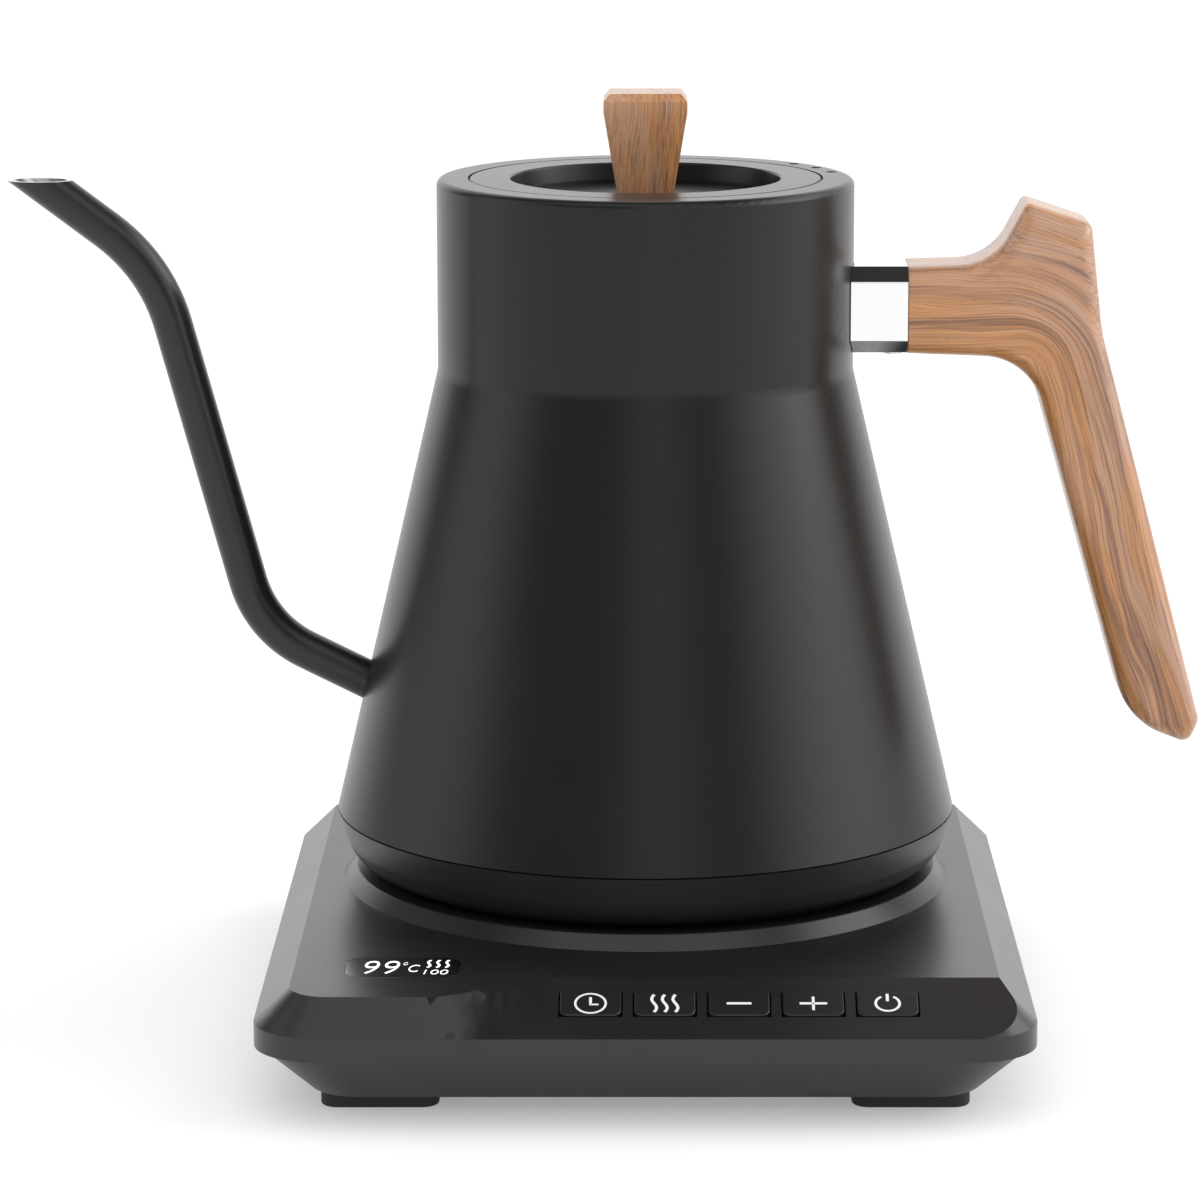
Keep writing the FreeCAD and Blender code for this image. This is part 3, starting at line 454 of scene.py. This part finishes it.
def make_finishes(colours):
    """Every slot's material."""
    black = tuple(colours.moulding)
    soft = {"Specular IOR Level": 0.4}
    glassy = {"Coat Weight": 0.6, "Coat Roughness": 0.04}
    seal = {"Subsurface Weight": 0.15, "Subsurface Scale": 0.002}
    clear = {"IOR": 1.52, "Coat Weight": 0.5, "Coat Roughness": 0.16}
    made = {
        "base_plastic": grained("base_plastic", black, 0.30, 0.22, 0.004, constants={"IOR": 1.52}),
        "tray_plastic": grained("tray_plastic", black, 0.40, 0.3, 0.008, constants={"IOR": 1.5}),
        "foot_rubber": grained("foot_rubber", (0.018, 0.018, 0.018), 0.68, 0.45, 0.03, constants=soft),
        "plug_plastic": grained("plug_plastic", (0.022, 0.022, 0.023), 0.36, 0.3, 0.008),
        "contact_brass": grained("contact_brass", (0.80, 0.58, 0.27), 0.22, 0.12, 0.004, 1.0,
                                 stretch=(1, 1, 8)),
        "window_gloss": grained("window_gloss", (0.004, 0.004, 0.005), 0.16, 2.0, 0.0004,
                                constants=clear),
        "module_plastic": grained("module_plastic", (0.80, 0.80, 0.77), 0.45, 0.4, 0.01, mottle=0.04),
        "key_plastic": grained("key_plastic", black, 0.31, 0.2, 0.004, constants={"IOR": 1.52}),
        "plunger_plastic": grained("plunger_plastic", (0.55, 0.55, 0.53), 0.42, 0.3, 0.008, mottle=0.05),
        "board_green": solder_board("board_green"),
        "switch_metal": grained("switch_metal", (0.06, 0.06, 0.062), 0.4, 0.25, 0.01),
        "relay_blue": grained("relay_blue", (0.03, 0.09, 0.34), 0.28, 0.5, 0.01, mottle=0.06,
                              constants=glassy),
        "capacitor_yellow": grained("capacitor_yellow", (0.78, 0.52, 0.05), 0.3, 0.5, 0.015,
                                    mottle=0.06, constants=glassy),
        "buzzer_black": grained("buzzer_black", (0.02, 0.02, 0.02), 0.38, 0.3, 0.01),
        "screw_zinc": grained("screw_zinc", (0.62, 0.62, 0.61), 0.3, 0.12, 0.006, 1.0, 0.08),
        "clamp_plastic": grained("clamp_plastic", (0.74, 0.72, 0.66), 0.48, 0.4, 0.012, mottle=0.05),
        "gland_rubber": grained("gland_rubber", (0.02, 0.02, 0.02), 0.62, 0.35, 0.02, constants=soft),
        "body_paint": coated_steel("body_paint", colours, shell_outside),
        "spout_paint": coated_steel("spout_paint", colours, spout_outside, 1.46),
        "inner_steel": grained("inner_steel", (0.62, 0.61, 0.59), 0.27, 0.1, 0.003, 1.0, 0.07,
                               stretch=(10, 10, 1)),
        "plate_aluminium": turned_plate("plate_aluminium"),
        "element_sheath": tinted_sheath("element_sheath"),
        "probe_steel": grained("probe_steel", (0.66, 0.66, 0.65), 0.18, 0.15, 0.002, 1.0, 0.05),
        "seal_silicone": grained("seal_silicone", (0.80, 0.79, 0.76), 0.5, 0.6, 0.01, mottle=0.04,
                                 constants=seal),
        "cutout_case": grained("cutout_case", (0.78, 0.75, 0.68), 0.55, 0.3, 0.015, mottle=0.06),
        "cover_plastic": grained("cover_plastic", black, 0.40, 0.3, 0.006, constants={"IOR": 1.5}),
        "ferrule_chrome": grained("ferrule_chrome", (0.86, 0.86, 0.87), 0.09, 0.7, 0.0006, 1.0, 0.02),
        "bracket_steel": grained("bracket_steel", (0.5, 0.5, 0.5), 0.4, 0.15, 0.01, 1.0, 0.1,
                                 stretch=(8, 1, 1)),
        "lid_paint": coated_steel("lid_paint", colours, everywhere),
        "grip_wood": teak("grip_wood", colours, handle_ring, lambda x, y, z: x - z, 8.0, 15.0),
        "knob_wood": teak("knob_wood", colours, lambda finish, x, y, z: x + y * 0.35 + 21.0,
                          lambda x, y, z: z + x * 0.2, 26.0, 36.0),
        "white_ink": lit_print("white_ink", colours.print_white, 0.0),
        "lit_sign": lit_print("lit_sign", (1.0, 1.0, 1.0), 0.9),
    }
    return made


FINISHES = {}


def finish_for(slot):
    if not FINISHES:
        FINISHES.update(make_finishes(bpy.context.scene.kettle_colours))
    return FINISHES[slot]


def dress(piece, slot):
    """Give a piece one finish."""
    piece.data.materials.clear()
    piece.data.materials.append(finish_for(slot))


def dress_nodes(*names):
    """Give CAD nodes their finish as they are."""
    for name in names:
        dress(NODES[name], SLOT_OF[name])


# ---------------------------------------------------------------- piece helpers

def settle(name, body, mesh, slot, smooth=30):
    """Add a finished mesh to the scene on its CAD body."""
    piece = bpy.data.objects.new(name, mesh)
    bpy.context.scene.collection.objects.link(piece)
    mesh.shade_smooth()
    mesh.set_sharp_from_angle(angle=math.radians(smooth))
    dress(piece, slot)
    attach(piece, body)
    return piece


def to_mesh(bm, name):
    mesh = bpy.data.meshes.new(name)
    bm.to_mesh(mesh)
    bm.free()
    if "custom_normal" in mesh.attributes:
        mesh.attributes.remove(mesh.attributes["custom_normal"])
    return mesh


def nowhere(point):
    return False


def merged_copy(node, curved=nowhere):
    """A CAD node's surface with its doubles merged and its flat faces whole again.

    Faces at a point where curved(point) is true stay as they are.
    """
    bm = bmesh.new()
    bm.from_mesh(NODES[node].data)
    bmesh.ops.remove_doubles(bm, verts=bm.verts, dist=MERGE_WITHIN)
    verts = [vert for vert in bm.verts if not curved(vert.co)]
    edges = [edge for edge in bm.edges if not any(curved(vert.co) for vert in edge.verts)]
    bmesh.ops.dissolve_limit(bm, angle_limit=FLAT_WITHIN, verts=verts, edges=edges)
    return bm


def soften(bm, width, segments=3, sharper_than=25, where=None):
    """Round the sharp edges, or those of them whose middle passes where(point)."""
    chosen = []
    for edge in bm.edges:
        if len(edge.link_faces) != 2 or edge.calc_face_angle(0) < math.radians(sharper_than):
            continue
        if where is None or where((edge.verts[0].co + edge.verts[1].co) / 2):
            chosen.append(edge)
    bmesh.ops.bevel(bm, geom=chosen, offset=width, offset_type="OFFSET", segments=segments,
                    profile=0.5, affect="EDGES", material=-1, clamp_overlap=True)


def refine(node, width=None, segments=3, sharper_than=25, where=None, curved=nowhere,
           slot=None):
    """A softened stand-in for a CAD node. slot names a finish other than the node's own."""
    if width is None:
        width = bpy.context.scene.kettle_sizes.edge_round
    bm = merged_copy(node, curved)
    soften(bm, width, segments, sharper_than, where)
    mesh = to_mesh(bm, node + "_finished")
    piece = settle(node + "_finished", BODY_OF[node], mesh, slot or SLOT_OF[node], 40)
    weighted = piece.modifiers.new("even_normals", "WEIGHTED_NORMAL")
    weighted.keep_sharp = True
    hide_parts(node)
    return piece


def thicken(bm, height):
    """Raise flat faces into a plate."""
    raised = bmesh.ops.extrude_face_region(bm, geom=bm.faces[:])
    points = [item for item in raised["geom"] if isinstance(item, bmesh.types.BMVert)]
    bmesh.ops.translate(bm, verts=points, vec=(0, 0, height))
    bmesh.ops.recalc_face_normals(bm, faces=bm.faces)


def ribbon(bm, points, width):
    """A flat strip along points, made by drawing a short edge out along them."""
    count = len(points)
    edge = None
    for i, point in enumerate(points):
        ahead = Vector(points[min(i + 1, count - 1)]) - Vector(points[max(i - 1, 0)])
        side = Vector((-ahead.y, ahead.x)).normalized() * (width / 2)
        spots = [Vector((point[0] + side.x, point[1] + side.y, 0)),
                 Vector((point[0] - side.x, point[1] - side.y, 0))]
        if edge is None:
            ends = [bm.verts.new(spot) for spot in spots]
            edge = bm.edges.new(ends)
            continue
        drawn = bmesh.ops.extrude_edge_only(bm, edges=[edge])["geom"]
        ends_next = [item for item in drawn if isinstance(item, bmesh.types.BMVert)]
        edge = next(item for item in drawn if isinstance(item, bmesh.types.BMEdge)
                    and all(vert in ends_next for vert in item.verts))
        if (ends_next[0].co - ends[0].co).length > (ends_next[0].co - ends[1].co).length:
            ends_next.reverse()
        for vert, spot in zip(ends_next, spots):
            vert.co = spot
        ends = ends_next


def ring_band(bm, radius, width, turn=math.tau, start=0.0, steps=48):
    """A flat ring, or part of one, spun from a radial edge."""
    direction = Vector((math.cos(start), math.sin(start), 0))
    ends = [bm.verts.new(direction * reach) for reach in (radius - width / 2, radius + width / 2)]
    edge = bm.edges.new(ends)
    bmesh.ops.spin(bm, geom=ends + [edge], cent=(0, 0, 0), axis=(0, 0, 1), angle=turn, steps=steps,
                   use_merge=turn > math.tau - 0.001)


def wave(middle, height, sway, low=0.0, points=17, lean=0.0):
    """One upright wave of steam as points."""
    spots = []
    for i in range(points):
        t = i / (points - 1)
        spots.append((middle + sway * math.sin(t * math.tau) + lean * t, low + (t - 0.5) * height))
    return spots


def lettering(text, height, width, slant, weight):
    """Upright figures as a flat mesh with its lower left corner at the origin."""
    curve = bpy.data.curves.new("figures", "FONT")
    curve.body = text
    curve.size = 1.0
    curve.offset = weight
    curve.resolution_u = 8
    holder = bpy.data.objects.new("figures", curve)
    bpy.context.scene.collection.objects.link(holder)
    bpy.context.view_layer.update()
    mesh = bpy.data.meshes.new_from_object(holder.evaluated_get(bpy.context.evaluated_depsgraph_get()))
    bpy.data.objects.remove(holder)
    bm = bmesh.new()
    bm.from_mesh(mesh)
    bpy.data.meshes.remove(mesh)
    bmesh.ops.remove_doubles(bm, verts=bm.verts, dist=0.0001)
    low = Vector((min(v.co.x for v in bm.verts), min(v.co.y for v in bm.verts), 0))
    high = Vector((max(v.co.x for v in bm.verts), max(v.co.y for v in bm.verts), 0))
    tall = height / (high.y - low.y)
    wide = width / (high.x - low.x)
    shear = Matrix(((wide, slant * tall, 0, 0), (0, tall, 0, 0), (0, 0, 1, 0), (0, 0, 0, 1)))
    bmesh.ops.transform(bm, matrix=shear @ Matrix.Translation(-low), verts=bm.verts)
    return bm


def joined(parts):
    """Several small meshes, each moved to its place, as one."""
    whole = bmesh.new()
    for part, across, up in parts:
        bmesh.ops.translate(part, verts=part.verts, vec=(across, up, 0))
        mesh = to_mesh(part, "part")
        whole.from_mesh(mesh)
        bpy.data.meshes.remove(mesh)
    return whole


def panel_place(across, up):
    """From a flat drawing to the sloped key panel."""
    turn = Matrix.Rotation(PANEL_SLOPE, 4, "X")
    return Matrix.Translation((0, -PANEL_TOP, FACE_Z)) @ turn @ Matrix.Translation((across, up, 0))


# ---------------------------------------------------------------- operators

class PieceOperator:
    """What every operator here has in common."""

    bl_options = {"REGISTER", "UNDO"}

    def execute(self, context):
        self.make(context.scene)
        return {"FINISHED"}


class KETTLE_OT_shell(PieceOperator, bpy.types.Operator):
    """Coat the body shell, spout and bottom cover"""

    bl_idname = "kettle.shell"
    bl_label = "Body shell and spout"

    def make(self, scene):
        dress_nodes("body_shell", "spout", "kettle_bottom_cover")


class KETTLE_OT_handle(PieceOperator, bpy.types.Operator):
    """Make the wooden grip and its chrome ferrule"""

    bl_idname = "kettle.handle"
    bl_label = "Handle"

    def make(self, scene):
        dress_nodes("handle_grip", "handle_bracket", "handle_screw")
        refine("ferrule", FERRULE_ROUND, 4)


class KETTLE_OT_lid(PieceOperator, bpy.types.Operator):
    """Make the lid, its wooden knob and its seal"""

    bl_idname = "kettle.lid"
    bl_label = "Lid"

    def make(self, scene):
        dress_nodes("lid_cover", "lid_inner", "lid_gasket", "knob_screw", "knob_washer", "lid_seat_ring")
        refine("knob", slot="knob_wood")


class KETTLE_OT_base(PieceOperator, bpy.types.Operator):
    """Make the base's cover, tray and feet"""

    bl_idname = "kettle.base"
    bl_label = "Base"

    def make(self, scene):
        def fade(point):
            """Where the key panel runs out into the bevel."""
            return FADE_LEFT < point.x < FADE_RIGHT and point.y < -FADE_BACK and point.z > BELT_Z

        def outline(point):
            """The long edges of the belt and the top face."""
            if point.z < BELT_Z or fade(point):
                return False
            side = abs(point.x) > BELT_SIDE
            end = point.y < -BELT_FRONT or point.y > BELT_BACK
            return side or end or abs(point.x) + point.y > BELT_CORNER

        refine("base_top_cover", BELT_ROUND, 4, 12, outline, fade)
        dress_nodes("base_bottom_tray")
        refine("base_feet", FOOT_ROUND)


class KETTLE_OT_plug(PieceOperator, bpy.types.Operator):
    """Make the round plug between kettle and base"""

    bl_idname = "kettle.plug"
    bl_label = "Plug"

    def make(self, scene):
        dress_nodes("base_socket", "socket_contacts", "coupler_housing", "coupler_contacts")


class KETTLE_OT_heater(PieceOperator, bpy.types.Operator):
    """Finish the vessel's floor and what heats and senses it"""

    bl_idname = "kettle.heater"
    bl_label = "Heater"

    def make(self, scene):
        dress_nodes("vessel_floor", "heat_plate", "heating_element", "ntc_probe", "probe_seal",
                    "thermal_cutout", "bottom_gasket")


class KETTLE_OT_electrics(PieceOperator, bpy.types.Operator):
    """Finish the boards, their parts and the cord's gland"""

    bl_idname = "kettle.electrics"
    bl_label = "Electrics"

    def make(self, scene):
        dress_nodes("display_module", "control_board", "key_switches", "power_board", "cord_gland",
                    "cord_clamp")
        for name in ("relay", "filter_capacitor", "buzzer"):
            refine(name, CASE_ROUND)


class KETTLE_OT_screws(PieceOperator, bpy.types.Operator):
    """Finish the screws"""

    bl_idname = "kettle.screws"
    bl_label = "Screws"

    def make(self, scene):
        dress_nodes("board_screws", "cord_clamp_screws", "base_screws", "bottom_cover_screws")


class KETTLE_OT_display(PieceOperator, bpy.types.Operator):
    """Make the display window and its lit figures"""

    bl_idname = "kettle.display"
    bl_label = "Display"

    def make(self, scene):
        refine("display_window", WINDOW_ROUND, 2)
        sizes = scene.kettle_sizes
        low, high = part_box("display_window")
        waves = bmesh.new()
        for i in range(3):
            ribbon(waves, wave(i * 0.0021, 0.0060, 0.0004, lean=0.0006), 0.00055)
        slant, thin = 0.1, -0.014
        parts = [
            (lettering("9", 0.0104, 0.0034, slant, thin), 0.0036, 0.0031),
            (lettering("9", 0.0104, 0.0034, slant, thin), 0.0082, 0.0031),
            (lettering("°", 0.0022, 0.0010, slant, thin), 0.0130, 0.0102),
            (lettering("C", 0.0056, 0.0023, slant, thin), 0.0142, 0.0046),
            (waves, 0.0187, 0.0112),
            (lettering("100", 0.0036, 0.0054, slant, thin), 0.0180, 0.0026),
        ]
        signs = joined(parts)
        thicken(signs, sizes.print_height)
        bmesh.ops.translate(signs, verts=signs.verts, vec=(low.x, low.y, high.z + PRINT_GAP))
        settle("display_figures", "base", to_mesh(signs, "display_figures"), "lit_sign")


class KETTLE_OT_keys(PieceOperator, bpy.types.Operator):
    """Make the five keys and the signs printed on them"""

    bl_idname = "kettle.keys"
    bl_label = "Keys"

    def sign(self, name, sizes):
        """One key's sign, flat and centred."""
        stroke = sizes.stroke
        bm = bmesh.new()
        if name == "key_timer":
            ring_band(bm, sizes.clock_radius - stroke / 2, stroke)
            ribbon(bm, [(0, 0.0022), (0, -0.0004)], stroke * 1.2)
            ribbon(bm, [(-0.0003, -0.0004), (0.0018, -0.0004)], stroke)
        elif name == "key_heat":
            for i in (-1, 0, 1):
                ribbon(bm, wave(i * 0.0024, 0.0062, 0.00055), stroke * 1.3)
        elif name == "key_power":
            gap = math.radians(30)
            ring_band(bm, 0.0027, stroke * 1.15, math.tau - 2 * gap, math.pi / 2 + gap)
            ribbon(bm, [(0, 0.0034), (0, 0.0008)], stroke * 1.3)
        else:
            reach = 0.0031 if name == "key_plus" else 0.0028
            ribbon(bm, [(-reach, 0), (reach, 0)], stroke * 1.4)
            if name == "key_plus":
                ribbon(bm, [(0, -0.0024), (0, 0.0024)], stroke * 1.2)
        return bm

    def make(self, scene):
        sizes = scene.kettle_sizes
        for i, name in enumerate(KEY_NAMES):
            refine(name)
            dress_nodes(name + "_plunger")
            bm = self.sign(name, sizes)
            thicken(bm, sizes.print_height)
            place = panel_place(KEY_FIRST + i * KEY_PITCH, KEY_MIDDLE_Y)
            lift = Matrix.Translation((0, 0, KEY_PROUD + PRINT_GAP))
            bmesh.ops.transform(bm, matrix=place @ lift, verts=bm.verts)
            settle(name + "_sign", name, to_mesh(bm, name + "_sign"), "white_ink")


class KETTLE_OT_stage(PieceOperator, bpy.types.Operator):
    """Make the pale floor, the soft lights and the camera"""

    bl_idname = "kettle.stage"
    bl_label = "Studio"

    def floor(self):
        bm = bmesh.new()
        bmesh.ops.create_grid(bm, x_segments=1, y_segments=1, size=12.0)
        mesh = to_mesh(bm, "studio_floor")
        floor = bpy.data.objects.new("studio_floor", mesh)
        bpy.context.scene.collection.objects.link(floor)
        finish = Finish("studio_white", {"Specular IOR Level": 0.1, "Emission Strength": 0.3,
                                         "Emission Color": WHITE})
        x, y, z = finish.place()
        cloud = finish.noise(x * 3.0, y * 3.0, z, 2.0)
        floor.data.materials.append(
            finish.feed(Base_Color=finish.mix(cloud, (0.67, 0.67, 0.67, 1.0), (0.69, 0.69, 0.69, 1.0)),
                        Roughness=cloud * 0.1 + 0.7))

    def surround(self, scene):
        """White all round for soft light.

        What gloss mirrors is bright behind, in uprights on both sides and in front, and in a band
        overhead, and dark between them.
        """
        world = bpy.data.worlds.new("studio_surround")
        world.use_nodes = True
        scene.world = world
        room = Recipe(world.node_tree)
        x, y, z = room.parts(room.add("ShaderNodeTexCoord", result=0))
        turn = x.math("ARCTAN2", 0 - y) * (180 / math.pi)
        away = turn.math("ABSOLUTE")

        def panel(middle, half, soft, level):
            """A soft-edged upright light that far round from the front, in degrees."""
            left, right = middle - half, middle + half
            return turn.fade(left - soft, left + soft) * turn.fade(right + soft, right - soft) * level

        upright = panel(80, 26, 24, 2.6) + panel(-86, 20, 18, 1.4) + panel(6, 12, 14, 0.9)
        behind = away.fade(124, 142) * z.fade(0.99, 0.6) * 1.3
        overhead = z.fade(0.48, 0.6) * z.fade(0.985, 0.93) * away.fade(80, 50)
        gloss = behind + upright * z.fade(0.75, 0.35) + overhead * 1.1 + 0.03
        rays = room.add("ShaderNodeLightPath")
        is_gloss = Wire(room, rays.socket.node.outputs["Is Glossy Ray"])
        level = is_gloss * gloss + (1 - is_gloss) * scene.kettle_studio.soft_light
        tone = room.vector(level, level, level)
        back = room.add("ShaderNodeBackground", values={"Color": tone, "Strength": 1.0})
        room.add("ShaderNodeOutputWorld", values={"Surface": back})

    def light(self, name, place, aim, side, power):
        """A square soft light that looks at a point."""
        lamp = bpy.data.lights.new(name, "AREA")
        lamp.shape = "SQUARE"
        lamp.size = side
        lamp.energy = power
        holder = bpy.data.objects.new(name, lamp)
        way = Vector(aim) - Vector(place)
        holder.location = place
        holder.rotation_euler = way.to_track_quat("-Z", "Y").to_euler()
        bpy.context.scene.collection.objects.link(holder)

    def camera(self, scene):
        studio = scene.kettle_studio
        lens = bpy.data.cameras.new("front_camera")
        lens.lens = studio.lens
        lens.sensor_width = 36.0
        lens.shift_x = studio.shift
        lens.clip_start = 0.05
        lens.clip_end = 100.0
        holder = bpy.data.objects.new("front_camera", lens)
        holder.location = (0, -studio.distance, studio.height)
        holder.rotation_euler = (math.pi / 2 - studio.pitch, 0, 0)
        scene.collection.objects.link(holder)
        scene.camera = holder

    def make(self, scene):
        scene.view_settings.view_transform = "Standard"
        self.floor()
        self.surround(scene)
        studio = scene.kettle_studio
        self.light("key_light", (1.5, 0.35, 1.0), (0, 0, 0.1), studio.key_size, studio.key_power)
        self.camera(scene)


class KETTLE_PT_pieces(bpy.types.Panel):
    """Lists the kettle's operators and settings"""

    bl_idname = "KETTLE_PT_pieces"
    bl_label = "Gooseneck kettle"
    bl_space_type = "VIEW_3D"
    bl_region_type = "UI"
    bl_category = "Kettle"

    def draw(self, context):
        for operator in OPERATORS:
            self.layout.operator(operator.bl_idname)
        for group in (context.scene.kettle_colours, context.scene.kettle_sizes,
                      context.scene.kettle_studio):
            for key in group.bl_rna.properties.keys()[2:]:
                self.layout.prop(group, key)


OPERATORS = (KETTLE_OT_stage, KETTLE_OT_shell, KETTLE_OT_handle, KETTLE_OT_lid, KETTLE_OT_base,
             KETTLE_OT_plug, KETTLE_OT_heater, KETTLE_OT_electrics, KETTLE_OT_screws,
             KETTLE_OT_display, KETTLE_OT_keys)
GROUPS = {"kettle_colours": KettleColours, "kettle_sizes": KettleSizes, "kettle_studio": KettleStudio}


def register():
    for name, group in GROUPS.items():
        bpy.utils.register_class(group)
        setattr(bpy.types.Scene, name, PointerProperty(type=group))
    for operator in OPERATORS:
        bpy.utils.register_class(operator)
    bpy.utils.register_class(KETTLE_PT_pieces)


def unregister():
    bpy.utils.unregister_class(KETTLE_PT_pieces)
    for operator in reversed(OPERATORS):
        bpy.utils.unregister_class(operator)
    for name, group in GROUPS.items():
        delattr(bpy.types.Scene, name)
        bpy.utils.unregister_class(group)


def main():
    register()
    for operator in OPERATORS:
        family, action = operator.bl_idname.split(".")
        getattr(getattr(bpy.ops, family), action)()


if __name__ == "__main__":
    main()
